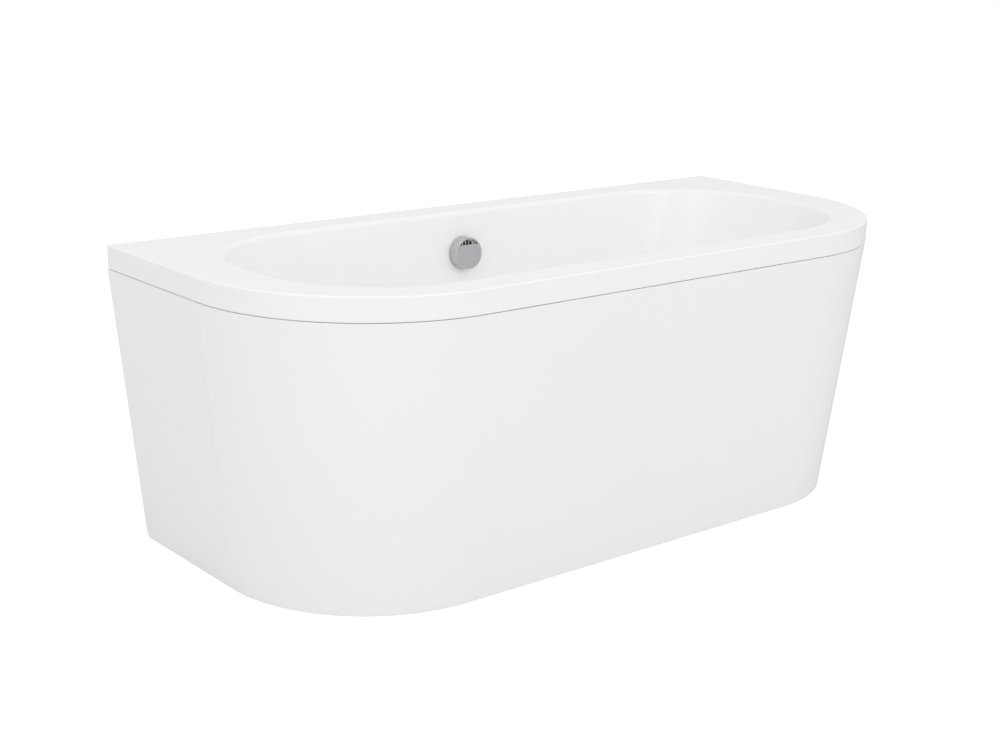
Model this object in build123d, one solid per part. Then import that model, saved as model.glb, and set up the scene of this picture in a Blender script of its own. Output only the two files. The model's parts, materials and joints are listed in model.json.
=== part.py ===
from build123d import *
import math
import os

# A back-to-wall freestanding bathtub, in millimetres.
# The origin is on the floor, under the middle of the rim: +X runs along the bath's length,
# +Y towards the wall and +Z up. Cuts run 1 mm past the faces that they open.

# Overall size and rim
LENGTH = 1700.0
WIDTH = 750.0
HEIGHT = 640.0
RIM_DEPTH = 48.0
RIM_CORNER_RADIUS = 380.0
RIM_BACK_CORNER_RADIUS = 5.0
RIM_EDGE_RADIUS = 4.0
RIM_SIDE_LAND = 70.0
RIM_END_LAND = 103.0
SHEET = 6.0

# Bowl
BOWL_DEPTH = 440.0
LIP_RADIUS = 12.0
BOWL_CORNER_RADIUS = 258.0
FLOOR_CORNER_RADIUS = 150.0
FLOOR_BLEND_RADIUS = 80.0
LEAST_END_STRAIGHT = 10.0
SIDE_SLOPE = 6.0
END_SLOPE = 24.0
FLOOR_FALL = 4.0
SUMP_CLEARANCE = 5.0
SUMP_DEPTH = 4.0
SUMP_SQUARENESS = 0.04

# Glass-fibre backing, base board and rim battens
GLUE_GAP = 0.2
BACKING_SHEET = 3.0
BACKING_TOP_DROP = 22.0
BASE_BOARD_THICKNESS = 15.0
BASE_BOARD_INSET = 12.0
BASE_BOARD_CORNER_RADIUS = 60.0
BASE_BOARD_HOLE_CLEARANCE = 18.0
BATTEN_WIDTH = 30.0
BATTEN_HEIGHT = 34.0
BATTEN_CLEARANCE = 1.0
BATTEN_END_GAP = 12.0

# Front panel and what stiffens it
SEAM = 2.0
PANEL_SHEET = 5.0
PANEL_EDGE_RADIUS = 1.0
PANEL_END_TAPER = 64.0
PANEL_FRONT_TAPER = 62.0
PANEL_FOOT_CORNER_RADIUS = 330.0
PANEL_RETURN = 30.0
PANEL_HEEL_RADIUS = 12.0
TONGUE_SHEET = 5.0
TONGUE_HEIGHT = 22.0
TONGUE_CLEARANCE = 0.6
RAIL_HEIGHT = 50.0
RAIL_LENGTH = 860.0
RAIL_THICKNESS = 18.0
RAIL_DROP = 4.0
BRACKET_SHEET = 2.5
BRACKET_WIDTH = 30.0
BRACKET_HEIGHT = 40.0
BRACKET_GRIP = 22.0
BRACKET_SCREW_SPACING = 16.0

# Legs and feet
LEG_END_INSET = 470.0
LEG_SIDE_INSET = 95.0
CENTRE_LEG_GAP = 150.0
CENTRE_LEG_LENGTH = 120.0
HAT_WIDTH = 40.0
HAT_HEIGHT = 28.0
HAT_LIP = 20.0
HAT_SHEET = 2.5
HAT_BEND_RADIUS = 1.0
FOOT_INSET = 35.0
STUD_RADIUS = 5.0
STUD_HOLE_CLEARANCE = 0.5
STUD_REACH = 9.0
NUT_ACROSS_FLATS = 17.0
NUT_HEIGHT = 8.0
RUNNING_CLEARANCE = 0.05
PAD_RADIUS = 25.0
PAD_HEIGHT = 14.0
PAD_COLLAR_RADIUS = 9.0
PAD_COLLAR_HEIGHT = 6.0
PAD_FLOOR = 6.0
PAD_EDGE = 5.0

# Screws
WOOD_SCREW_RADIUS = 2.2
WOOD_SCREW_HEAD_RADIUS = 4.4
WOOD_SCREW_HEAD_HEIGHT = 2.6
WOOD_SCREW_BITE = 11.0
SCREW_GAP = 0.1
LEG_SCREW_SPACING = 110.0
BOLT_RADIUS = 2.5
BOLT_HEAD_RADIUS = 4.8
BOLT_HEAD_HEIGHT = 3.0
BOLT_NUT_ACROSS_FLATS = 8.0
BOLT_NUT_HEIGHT = 4.0

# Wall brackets
WALL_BRACKET_SPREAD = 1000.0
WALL_BRACKET_WIDTH = 60.0
WALL_BRACKET_SHEET = 3.0
WALL_BRACKET_DROP = 46.0
WALL_BRACKET_STEP_GAP = 2.5
WALL_SCREW_SPACING = 36.0
WALL_SCREW_EDGE = 12.0
WALL_SCREW_HOLE_RADIUS = 3.0

# Pop-up waste
WASTE_HOLE_CLEARANCE = 3.0
FLANGE_SEAL_THICKNESS = 1.5
FLANGE_RADIUS = 35.0
FLANGE_THICKNESS = 3.5
FLANGE_SEAT_DEPTH = 2.0
FLANGE_DISH_RADIUS = 28.0
SEAL_MARGIN = 1.0
SPIGOT_RADIUS = 23.0
SPIGOT_WALL = 3.0
SPIGOT_LENGTH = 31.5
SPIDER_HEIGHT = 6.0
SPIDER_HUB_RADIUS = 8.0
SPIDER_ARM = 3.0
PLUG_RADIUS = 31.5
PLUG_EDGE = 1.6
PLUG_CROWN = 3.2
PLUG_CLEARANCE = 0.4
PLUG_SEAL_GAP = 0.2
PLUG_SEAL_INSET = 2.0
PLUG_SEAL_WIDTH = 5.0
STEM_RADIUS = 4.0
WASTE_GASKET_THICKNESS = 2.0
BODY_FLANGE_RADIUS = 42.0
BODY_FLANGE_THICKNESS = 5.0
BODY_RADIUS = 29.0
BODY_WALL = 4.0
BODY_HEIGHT = 58.0
THREAD_CLEARANCE = 0.1
BODY_OUTLET_RADIUS = 23.9
BODY_OUTLET_BORE = 18.5
BODY_OUTLET_LENGTH = 16.0

# Lever that lifts the plug
PLUG_LIFT = 12.0
LIFT_ARM = 24.0
PULL_ARM = 14.0
LEVER_SHEET = 5.0
LEVER_NOSE_RADIUS = 3.5
LEVER_END_RADIUS = 2.5
LEVER_PIN_RADIUS = 2.0
LEVER_BOSS_RADIUS = 4.5
LEVER_PIVOT_DROP = 40.0
LEVER_LIFT_GAP = 0.2
CHAMBER_RADIUS = 17.0
CHAMBER_REACH = 62.0
CHAMBER_RISE = 4.0

# Cable
KNOB_TURN = 90.0
WIRE_RADIUS = 0.75
WIRE_GAP = 0.1
WIRE_BORE = 1.2
SHEATH_RADIUS = 2.5
SHEATH_BORE = 1.3
GLAND_RADIUS = 5.0
GLAND_DEPTH = 6.0
GLAND_STOP = 2.0
GLAND_CLEARANCE = 0.1
CABLE_DROP = 130.0
CABLE_SWAY = 4.0
PATH_FULLNESS = 0.45

# Overflow
OVERFLOW_OFFSET = -15.0
OVERFLOW_DROP = 94.6
OVERFLOW_HOLE_RADIUS = 27.0
OVERFLOW_BACKING_CLEARANCE = 3.0
OVERFLOW_GASKET_THICKNESS = 2.0
OVERFLOW_FLANGE_RADIUS = 41.0
OVERFLOW_FLANGE_THICKNESS = 5.0
OVERFLOW_CHAMBER_RADIUS = 30.0
OVERFLOW_WALL = 4.0
OVERFLOW_CHAMBER_DEPTH = 42.0
OVERFLOW_OUTLET_SETBACK = 8.0
BEARING_LENGTH = 8.0
DRUM_BAY_RADIUS = 11.5
DRUM_BAY_DEPTH = 14.0
DRUM_COVER_THICKNESS = 3.0
DRUM_COVER_LIP = 1.5
DRUM_FLANGE_RADIUS = 9.0
DRUM_FLANGE_THICKNESS = 1.2
DRUM_LENGTH = 8.0
SPINDLE_RADIUS = 3.0
SPINDLE_TAIL_RADIUS = 2.0
SPINDLE_STEP_GAP = 0.5
FACEPLATE_RADIUS = 33.0
FACEPLATE_THICKNESS = 2.5
FACEPLATE_HUB_RADIUS = 9.0
FACEPLATE_SPOKE = 6.0
FACEPLATE_RING_CLEARANCE = 2.0
OVERFLOW_SCREW_CIRCLE = 20.0
OVERFLOW_SCREW_RADIUS = 2.0
OVERFLOW_SCREW_HEAD_RADIUS = 4.0
OVERFLOW_SCREW_HEAD_HEIGHT = 2.4
OVERFLOW_SCREW_LENGTH = 24.0
OVERFLOW_POST_RADIUS = 5.0
KNOB_BASE_RADIUS = 38.0
KNOB_FACE_RADIUS = 35.8
KNOB_WALL_GAP = 3.3
KNOB_DEPTH = 22.7
KNOB_SHEET = 2.0
KNOB_EDGE_RADIUS = 1.4
KNOB_HUB_RADIUS = 7.0
KNOB_SOCKET_COVER = 2.0
WINDOW_RADIUS = 32.0
WINDOW_CHORD = 19.5
WINDOW_RIB_WIDTH = 2.2
WINDOW_RIB_SPACING = 9.0
WINDOW_RIB_RECESS = 0.7

# Overflow hose
HOSE_RADIUS = 17.0
HOSE_BORE = 14.0
HOSE_SPIGOT_WALL = 2.9
HOSE_SPIGOT_GAP = 0.1
HOSE_SPIGOT_LENGTH = 22.0
HOSE_SHOULDER_RADIUS = 19.0
HOSE_SHOULDER_LENGTH = 5.0
HOSE_END_GAP = 0.3
HOSE_NUT_RADIUS = 21.0
HOSE_NUT_LENGTH = 20.0
HOSE_PLAIN_END = 34.0
HOSE_RIBS = 60
HOSE_RIB_DEPTH = 2.0
HOSE_RIB_FLANK = 0.2
HOSE_RIB_VALLEY = 0.3
HOSE_SWING = 152.0
HOSE_DROP = 105.0
HOSE_CLEARANCE = 9.0

# Trap
TRAP_RADIUS = 21.0
TRAP_BORE = 18.5
TRAP_SEAL_THICKNESS = 2.5
TRAP_RIM_RADIUS = 23.7
TRAP_RIM_THICKNESS = 3.0
TRAP_NUT_RADIUS = 30.0
TRAP_NUT_HEIGHT = 24.0
TRAP_NUT_SHOULDER = 4.0
TRAP_NUT_GAP = 0.2
TRAP_BEND_RADIUS = 30.0
TRAP_ELBOW_RADIUS = 25.0
TRAP_FLOOR_GAP = 14.0
TRAP_RISE = 5.0
TRAP_OUTLET_RUN = 27.0
TRAP_SOCKET_STOP = 3.0
PIPE_SOCKET_RADIUS = 20.3
PIPE_SOCKET_WALL = 4.7
PIPE_SOCKET_DEPTH = 30.0
OUTLET_NUT_RADIUS = 31.0
OUTLET_NUT_LENGTH = 26.0
OUTLET_SEAL_THICKNESS = 5.0
NUT_GRIPS = 10
NUT_GRIP_RADIUS = 2.5

ON_BASE = (Align.CENTER, Align.CENTER, Align.MIN)

# Levels that follow from the sizes above
PANEL_TOP = HEIGHT - RIM_DEPTH - SEAM
DECK_UNDER = HEIGHT - SHEET
BACKING_OFFSET = SHEET + GLUE_GAP
BACKING_OUTSIDE = BACKING_OFFSET + BACKING_SHEET
FLOOR_Z = HEIGHT - BOWL_DEPTH
FLOOR_CENTRE_Z = FLOOR_Z - FLOOR_FALL
SUMP_RADIUS = FLANGE_RADIUS + SUMP_CLEARANCE
SUMP_Z = FLOOR_CENTRE_Z - SUMP_DEPTH
SUMP_UNDER = SUMP_Z - SHEET
BOARD_TOP = FLOOR_CENTRE_Z - SHEET - BACKING_SHEET
BOARD_UNDER = BOARD_TOP - BASE_BOARD_THICKNESS
HAT_UNDER = BOARD_UNDER - HAT_HEIGHT
BLEND_CENTRE_Z = FLOOR_Z + FLOOR_BLEND_RADIUS
WASTE_HOLE_RADIUS = SPIGOT_RADIUS + WASTE_HOLE_CLEARANCE
BOWL_HALF_LENGTH = LENGTH / 2 - RIM_END_LAND - LIP_RADIUS
BOWL_HALF_WIDTH = WIDTH / 2 - RIM_SIDE_LAND - LIP_RADIUS
TONGUE_INSET = SHEET + TONGUE_CLEARANCE
BATTEN_INSET = TONGUE_INSET + TONGUE_SHEET + BATTEN_CLEARANCE
LEG_SPREAD = LENGTH - 2 * LEG_END_INSET
LEG_LENGTH = WIDTH - 2 * LEG_SIDE_INSET
FOOT_SPREAD = LEG_LENGTH - 2 * FOOT_INSET
CENTRE_LEG_X = LEG_SPREAD / 2 - CENTRE_LEG_GAP
FOOT_SPOTS = {
    "front_left": (-LEG_SPREAD / 2, -FOOT_SPREAD / 2),
    "front_right": (LEG_SPREAD / 2, -FOOT_SPREAD / 2),
    "back_left": (-LEG_SPREAD / 2, FOOT_SPREAD / 2),
    "back_right": (LEG_SPREAD / 2, FOOT_SPREAD / 2),
    "centre": (CENTRE_LEG_X, 0),
}
UPSIDE_DOWN = Rot(180, 0, 0)
FACE_WALL = Rot(-90, 0, 0)


# Plain shapes


def rod(radius, low, high):
    """A cylinder on the Z axis between two heights."""
    return Pos(0, 0, low) * Cylinder(radius, high - low, align=ON_BASE)


def ring(outer, inner, low, high):
    """A tube on the Z axis between two heights."""
    return rod(outer, low, high) - rod(inner, low - 1, high + 1)


def block(x_range, y_range, z_range):
    """A box between two corners."""
    size = [high - low for low, high in (x_range, y_range, z_range)]
    centre = [(high + low) / 2 for low, high in (x_range, y_range, z_range)]
    return Pos(*centre) * Box(*size)


def turned(points):
    """A profile of (radius, height) points turned round the Z axis."""
    return revolve(Plane.XZ * make_face(Polyline(*points, close=True)), Axis.Z)


def pan_screw(radius, head_radius, head_height, length):
    """A slotted screw whose head stands on z = 0, with its shank below."""
    head = Cylinder(head_radius, head_height, align=ON_BASE)
    head = fillet(head.edges().sort_by(Axis.Z)[-1], head_height * 0.45)
    head -= Pos(0, 0, head_height) * Box(2 * head_radius, head_height * 0.4, head_height * 0.8)
    return head + rod(radius, -length, 0)


def hex_nut(across_flats, bore, low, high):
    """A hexagonal nut on the Z axis between two heights."""
    blank = extrude(RegularPolygon(across_flats / math.sqrt(3), 6), high - low)
    return Pos(0, 0, low) * blank - rod(bore, low - 1, high + 1)


def grip_nut(outer, bore, low, high):
    """A hand nut on the Z axis, with rounded grips round its outside."""
    nut = rod(outer - NUT_GRIP_RADIUS, low, high)
    grip = rod(NUT_GRIP_RADIUS, low, high)
    for spot in PolarLocations(outer - NUT_GRIP_RADIUS, NUT_GRIPS):
        nut += spot * grip
    return nut - rod(bore, low - 1, high + 1)


# Rim and bowl


def d_outline(z, half, back, front, radius):
    """A face at height z: straight back and ends, round front corners."""
    shoulder = front + radius
    turn = radius * math.sqrt(0.5)
    right = half - radius
    path = [
        Line((-half, back), (half, back)),
        Line((half, back), (half, shoulder)),
        ThreePointArc((half, shoulder), (right + turn, shoulder - turn), (right, front)),
        Line((right, front), (-right, front)),
        ThreePointArc((-right, front), (-right - turn, shoulder - turn), (-half, shoulder)),
        Line((-half, shoulder), (-half, back)),
    ]
    return Pos(0, 0, z) * make_face(Curve() + path)


def rim_outline(z, inset=0.0):
    """The rim's plan at height z, drawn in by inset on every side."""
    half = LENGTH / 2 - inset
    back = WIDTH / 2 - inset
    return d_outline(z, half, back, -back, RIM_CORNER_RADIUS - inset)


def floor_half(top_half, slope):
    """Half the size of the flat floor that a wall of this slope comes down to."""
    angle = math.radians(slope)
    tangent_z = BLEND_CENTRE_Z - FLOOR_BLEND_RADIUS * math.sin(angle)
    run = (HEIGHT - tangent_z) * math.tan(angle)
    return top_half - run - FLOOR_BLEND_RADIUS * math.cos(angle)


FLOOR_HALF_LENGTH = floor_half(BOWL_HALF_LENGTH, END_SLOPE)
FLOOR_HALF_WIDTH = floor_half(BOWL_HALF_WIDTH, SIDE_SLOPE)


def wall_reach(z, floor, slope, offset):
    """How far the wall stands from the bowl's middle at height z, offset outwards."""
    angle = math.radians(slope)
    radius = FLOOR_BLEND_RADIUS + offset
    tangent_z = BLEND_CENTRE_Z - radius * math.sin(angle)
    if z < tangent_z:
        drop = min(BLEND_CENTRE_Z - z, radius)
        return floor + math.sqrt(radius**2 - drop**2)
    return floor + radius * math.cos(angle) + (z - tangent_z) * math.tan(angle)


def bowl_section(z, offset):
    """The bowl's rounded plan at height z, offset outwards."""
    half_x = wall_reach(z, FLOOR_HALF_LENGTH, END_SLOPE, offset)
    half_y = wall_reach(z, FLOOR_HALF_WIDTH, SIDE_SLOPE, offset)
    share = (half_y - FLOOR_HALF_WIDTH) / (BOWL_HALF_WIDTH - FLOOR_HALF_WIDTH)
    radius = FLOOR_CORNER_RADIUS + (BOWL_CORNER_RADIUS - FLOOR_CORNER_RADIUS) * share
    radius = min(radius, half_y - LEAST_END_STRAIGHT / 2)
    return Pos(0, 0, z) * RectangleRounded(2 * half_x, 2 * half_y, radius)


def bowl_walls(offset, top):
    """The space inside the bowl's wall and floor blend, offset outwards, up to top."""
    radius = FLOOR_BLEND_RADIUS + offset
    angles = [0, 10, 20, 32, 45, 58, 72, 90]
    levels = [BLEND_CENTRE_Z - radius * math.cos(math.radians(a)) for a in angles]
    blend = loft([bowl_section(z, offset) for z in levels])
    wall = loft([bowl_section(levels[-1], offset), bowl_section(top, offset)], ruled=True)
    return blend + wall


def bowl_form(offset, top):
    """The same space with the floor's fall to the sump added."""
    floor_z = FLOOR_Z - offset
    sump = 2 * (SUMP_RADIUS + offset)
    corner = (0.5 - SUMP_SQUARENESS / 2) * sump
    low = Pos(0, 0, floor_z - FLOOR_FALL) * RectangleRounded(sump, sump, corner)
    fall = loft([low, bowl_section(floor_z, offset)], ruled=True)
    return bowl_walls(offset, top) + fall


def overflow_place():
    """The overflow's own frame: on the bowl's back wall, with Z into the bowl."""
    z = HEIGHT - OVERFLOW_DROP
    y = wall_reach(z, FLOOR_HALF_WIDTH, SIDE_SLOPE, 0)
    angle = math.radians(SIDE_SLOPE)
    normal = (0, -math.cos(angle), math.sin(angle))
    return Plane(origin=(OVERFLOW_OFFSET, y, z), x_dir=(1, 0, 0), z_dir=normal).location


OVERFLOW = overflow_place()


def bath_shell():
    """Deck, rim band, lip, bowl and sump, one sheet thick."""
    skirt_end = HEIGHT - RIM_DEPTH
    shell = extrude(rim_outline(skirt_end), RIM_DEPTH)
    back_corners = shell.edges().filter_by(Axis.Z).filter_by_position(
        Axis.Y, WIDTH / 2 - 0.01, WIDTH / 2 + 0.01
    )
    shell = fillet(back_corners, RIM_BACK_CORNER_RADIUS)
    shell -= extrude(rim_outline(skirt_end - 1, SHEET), RIM_DEPTH - SHEET + 1)
    shell += bowl_form(SHEET, DECK_UNDER + 1)
    shell += rod(SUMP_RADIUS + SHEET, SUMP_UNDER, FLOOR_CENTRE_Z)
    shell -= bowl_form(0, HEIGHT + 5)
    shell -= rod(SUMP_RADIUS, SUMP_Z, FLOOR_Z + 1)
    shell -= rod(WASTE_HOLE_RADIUS, SUMP_UNDER - 1, SUMP_Z + 1)
    shell -= OVERFLOW * rod(OVERFLOW_HOLE_RADIUS, -3 * SHEET, SHEET)
    top = shell.faces().filter_by(Plane.XY).sort_by(Axis.Z)[-1]
    shell = fillet(top.inner_wires()[0].edges(), LIP_RADIUS)
    top = shell.faces().filter_by(Plane.XY).sort_by(Axis.Z)[-1]
    return fillet(top.outer_wire().edges(), RIM_EDGE_RADIUS)


def glassfibre_backing():
    """The reinforcement on the bowl's underside, levelled off under the floor."""
    skin = bowl_walls(BACKING_OUTSIDE, HEIGHT - BACKING_TOP_DROP)
    lowest = FLOOR_Z - BACKING_OUTSIDE
    skin += extrude(bowl_section(lowest, BACKING_OUTSIDE), BOARD_TOP - lowest)
    skin -= bowl_form(BACKING_OFFSET, HEIGHT)
    skin -= rod(SUMP_RADIUS + SHEET + GLUE_GAP, 0, FLOOR_Z)
    hole = OVERFLOW_FLANGE_RADIUS + OVERFLOW_BACKING_CLEARANCE
    skin -= OVERFLOW * rod(hole, -4 * BACKING_OUTSIDE, 0)
    return skin


def leg_screw_spots():
    """Where the wood screws go up through the hat sections' lips: x, y."""
    lip = HAT_WIDTH / 2 + HAT_LIP / 2
    spots = []
    for x in (-LEG_SPREAD / 2, LEG_SPREAD / 2):
        for side in (-lip, lip):
            for y in (-LEG_SCREW_SPACING, 0, LEG_SCREW_SPACING):
                spots.append((x + side, y))
    for side in (-lip, lip):
        for x in (-CENTRE_LEG_LENGTH / 3, CENTRE_LEG_LENGTH / 3):
            spots.append((CENTRE_LEG_X + x, side))
    return spots


def base_board():
    half_x = FLOOR_HALF_LENGTH - BASE_BOARD_INSET
    half_y = FLOOR_HALF_WIDTH - BASE_BOARD_INSET
    plan = RectangleRounded(2 * half_x, 2 * half_y, BASE_BOARD_CORNER_RADIUS)
    board = Pos(0, 0, BOARD_UNDER) * extrude(plan, BASE_BOARD_THICKNESS)
    hole = BODY_FLANGE_RADIUS + BASE_BOARD_HOLE_CLEARANCE
    board -= rod(hole, BOARD_UNDER - 1, BOARD_TOP + 1)
    pilot = rod(WOOD_SCREW_RADIUS + SCREW_GAP, BOARD_UNDER - 1, BOARD_UNDER + WOOD_SCREW_BITE + 1)
    for x, y in leg_screw_spots():
        board -= Pos(x, y, 0) * pilot
    return board


def wall_screw_spots():
    """The screws that hold each wall bracket to the back batten, and to the wall: x."""
    spots = []
    for x in (-WALL_BRACKET_SPREAD / 2, WALL_BRACKET_SPREAD / 2):
        for side in (-WALL_SCREW_SPACING / 2, WALL_SCREW_SPACING / 2):
            spots.append(x + side)
    return spots


BATTEN_UNDER = DECK_UNDER - BATTEN_HEIGHT
BATTEN_BACK = WIDTH / 2 - SHEET - BATTEN_CLEARANCE
BATTEN_MIDDLE_Y = BATTEN_BACK - BATTEN_WIDTH / 2


def rim_batten_back():
    half = LENGTH / 2 - BATTEN_INSET
    batten = block(
        (-half, half), (BATTEN_BACK - BATTEN_WIDTH, BATTEN_BACK), (BATTEN_UNDER, DECK_UNDER)
    )
    pilot = rod(WOOD_SCREW_RADIUS + SCREW_GAP, BATTEN_UNDER - 1, BATTEN_UNDER + WOOD_SCREW_BITE + 1)
    for x in wall_screw_spots():
        batten -= Pos(x, BATTEN_MIDDLE_Y, 0) * pilot
    return batten


def rim_batten_front():
    half = LENGTH / 2 - RIM_CORNER_RADIUS - BATTEN_END_GAP
    front = -WIDTH / 2 + BATTEN_INSET
    return block((-half, half), (front, front + BATTEN_WIDTH), (BATTEN_UNDER, DECK_UNDER))


def rim_batten_end(side):
    """The short batten under one end of the deck; side is -1 for left, 1 for right."""
    outer = side * (LENGTH / 2 - BATTEN_INSET)
    inner = outer - side * BATTEN_WIDTH
    front = -WIDTH / 2 + RIM_CORNER_RADIUS + BATTEN_END_GAP
    back = BATTEN_BACK - BATTEN_WIDTH - BATTEN_CLEARANCE
    return block((min(inner, outer), max(inner, outer)), (front, back), (BATTEN_UNDER, DECK_UNDER))


# Front panel


def panel_section(z, inset, back):
    """The panel's plan at height z, drawn in by inset, with its back edge at back."""
    rise = z / PANEL_TOP
    half = LENGTH / 2 - PANEL_END_TAPER * (1 - rise) - inset
    front = -WIDTH / 2 + PANEL_FRONT_TAPER * (1 - rise) + inset
    spread = RIM_CORNER_RADIUS - PANEL_FOOT_CORNER_RADIUS
    return d_outline(z, half, back, front, PANEL_FOOT_CORNER_RADIUS + spread * rise - inset)


def panel_loft(low, high, inset, back):
    return loft([panel_section(low, inset, back), panel_section(high, inset, back)], ruled=True)


def front_panel():
    """One wrapped sheet, with a ledge and tongue at its top and returns at its foot and back."""
    back = WIDTH / 2
    ledge = PANEL_TOP - PANEL_SHEET
    tongue_inside = TONGUE_INSET + TONGUE_SHEET
    tongue_back = back - SHEET - TONGUE_CLEARANCE
    panel = panel_loft(0, PANEL_TOP, 0, back)
    front_edges = panel.edges().filter_by_position(Axis.Z, PANEL_TOP - 0.01, PANEL_TOP + 0.01)
    front_edges -= front_edges.filter_by_position(Axis.Y, back - 0.01, back + 0.01)
    panel = fillet(front_edges, PANEL_EDGE_RADIUS)
    panel -= panel_loft(PANEL_SHEET, ledge, PANEL_SHEET, back - PANEL_SHEET)
    panel -= extrude(panel_section(0, PANEL_RETURN, back + 1), 2 * PANEL_SHEET)
    panel -= extrude(panel_section(PANEL_TOP, tongue_inside, back + 1), -2 * PANEL_SHEET)
    foot = LENGTH / 2 - PANEL_END_TAPER - PANEL_RETURN
    head = LENGTH / 2 - PANEL_RETURN
    gap = Polyline((-foot, 0), (foot, 0), (head, PANEL_TOP), (-head, PANEL_TOP), close=True)
    opening = extrude(Plane.XZ * make_face(gap), -back - 1)
    panel -= opening - block((-LENGTH, LENGTH), (-1, back - 2 * PANEL_SHEET), (-1, HEIGHT))
    tongue = extrude(panel_section(PANEL_TOP, TONGUE_INSET, tongue_back), TONGUE_HEIGHT)
    tongue += extrude(panel_section(PANEL_TOP, TONGUE_INSET, tongue_back), -PANEL_SHEET)
    hollow = extrude(panel_section(PANEL_TOP, tongue_inside, back + 1), 2 * TONGUE_HEIGHT)
    hollow += extrude(panel_section(PANEL_TOP, tongue_inside, back + 1), -2 * PANEL_SHEET)
    panel += tongue - hollow
    heel = block((-LENGTH, LENGTH), (back - PANEL_HEEL_RADIUS, back + 1), (-1, PANEL_HEEL_RADIUS))
    round_heel = Pos(0, back - PANEL_HEEL_RADIUS, PANEL_HEEL_RADIUS) * (
        Rot(0, 90, 0) * Cylinder(PANEL_HEEL_RADIUS, 4 * LENGTH)
    )
    return panel - (heel - round_heel)


# Rail and brackets that tie the panel to the legs

RAIL_LOW = HAT_UNDER - RAIL_DROP
RAIL_MIDDLE_Z = RAIL_LOW + RAIL_HEIGHT / 2
PANEL_INSIDE_Y = -WIDTH / 2 + PANEL_FRONT_TAPER * (1 - RAIL_MIDDLE_Z / PANEL_TOP) + PANEL_SHEET
RAIL_FACE_Y = PANEL_INSIDE_Y + RAIL_THICKNESS
BRACKET_BOLT_Y = -LEG_LENGTH / 2 + BRACKET_GRIP / 2


def bracket_screw_spots():
    """The wood screws that go forwards through the angles into the rail: x."""
    spots = []
    for x in (-LEG_SPREAD / 2, LEG_SPREAD / 2):
        for side in (-BRACKET_SCREW_SPACING / 2, BRACKET_SCREW_SPACING / 2):
            spots.append(x + side)
    return spots


def panel_rail():
    """The strip bonded inside the panel's straight front, cut to the panel's slope."""
    half = RAIL_LENGTH / 2
    rail = block((-half, half), (-WIDTH / 2, RAIL_FACE_Y), (RAIL_LOW, RAIL_LOW + RAIL_HEIGHT))
    ledge = PANEL_TOP - PANEL_SHEET
    rail &= panel_loft(PANEL_SHEET, ledge, PANEL_SHEET + GLUE_GAP, WIDTH / 2)
    pilot = rod(WOOD_SCREW_RADIUS + SCREW_GAP, -WOOD_SCREW_BITE - 1, 1)
    for x in bracket_screw_spots():
        rail -= Pos(x, RAIL_FACE_Y, RAIL_MIDDLE_Z) * (FACE_WALL * pilot)
    return rail


def panel_brackets():
    """Steel angles from the leg channels' front ends to the rail, as separate solids."""
    low = HAT_UNDER - BRACKET_SHEET
    face = RAIL_FACE_Y + BRACKET_SHEET
    grip = -LEG_LENGTH / 2 + BRACKET_GRIP
    angles = []
    for x in (-LEG_SPREAD / 2, LEG_SPREAD / 2):
        sides = (x - BRACKET_WIDTH / 2, x + BRACKET_WIDTH / 2)
        angle = block(sides, (RAIL_FACE_Y, grip), (low, HAT_UNDER))
        angle += block(sides, (RAIL_FACE_Y, face), (low, low + BRACKET_HEIGHT))
        angle -= Pos(x, BRACKET_BOLT_Y, low) * rod(BOLT_RADIUS + SCREW_GAP, -1, 2 * BRACKET_SHEET)
        hole = rod(WOOD_SCREW_RADIUS + SCREW_GAP, -1, BRACKET_SHEET + 1)
        for side in (-BRACKET_SCREW_SPACING / 2, BRACKET_SCREW_SPACING / 2):
            angle -= Pos(x + side, RAIL_FACE_Y, RAIL_MIDDLE_Z) * (FACE_WALL * hole)
        angles.append(angle)
    return angles


def panel_fixings():
    """Wood screws into the rail, and a bolt and nut through each leg channel's web."""
    wood = pan_screw(
        WOOD_SCREW_RADIUS,
        WOOD_SCREW_HEAD_RADIUS,
        WOOD_SCREW_HEAD_HEIGHT,
        BRACKET_SHEET + WOOD_SCREW_BITE,
    )
    bolt_length = BRACKET_SHEET + HAT_SHEET + BOLT_NUT_HEIGHT + BOLT_RADIUS / 2
    bolt = pan_screw(BOLT_RADIUS, BOLT_HEAD_RADIUS, BOLT_HEAD_HEIGHT, bolt_length)
    nut_low = HAT_UNDER + HAT_SHEET
    nut = hex_nut(
        BOLT_NUT_ACROSS_FLATS, BOLT_RADIUS + SCREW_GAP, nut_low, nut_low + BOLT_NUT_HEIGHT
    )
    pieces = []
    for x in bracket_screw_spots():
        pieces.append(Pos(x, RAIL_FACE_Y + BRACKET_SHEET, RAIL_MIDDLE_Z) * (FACE_WALL * wood))
    for x in (-LEG_SPREAD / 2, LEG_SPREAD / 2):
        pieces.append(Pos(x, BRACKET_BOLT_Y, HAT_UNDER - BRACKET_SHEET) * (UPSIDE_DOWN * bolt))
        pieces.append(Pos(x, BRACKET_BOLT_Y, 0) * nut)
    return pieces


# Legs and feet


def hat_section(length):
    """A steel hat along X, open upwards, with its lips' tops at z = 0."""
    web = HAT_WIDTH / 2
    lip = web + HAT_LIP
    inner = web - HAT_SHEET
    drop = -HAT_HEIGHT
    points = [
        (-lip, 0), (-inner, 0), (-inner, drop + HAT_SHEET), (inner, drop + HAT_SHEET),
        (inner, 0), (lip, 0), (lip, -HAT_SHEET), (web, -HAT_SHEET), (web, drop),
        (-web, drop), (-web, -HAT_SHEET), (-lip, -HAT_SHEET),
    ]
    profile = make_face(Polyline(*points, close=True))
    profile = fillet(profile.vertices(), HAT_BEND_RADIUS)
    return Pos(-length / 2, 0, 0) * extrude(Plane.YZ * profile, length)


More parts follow.
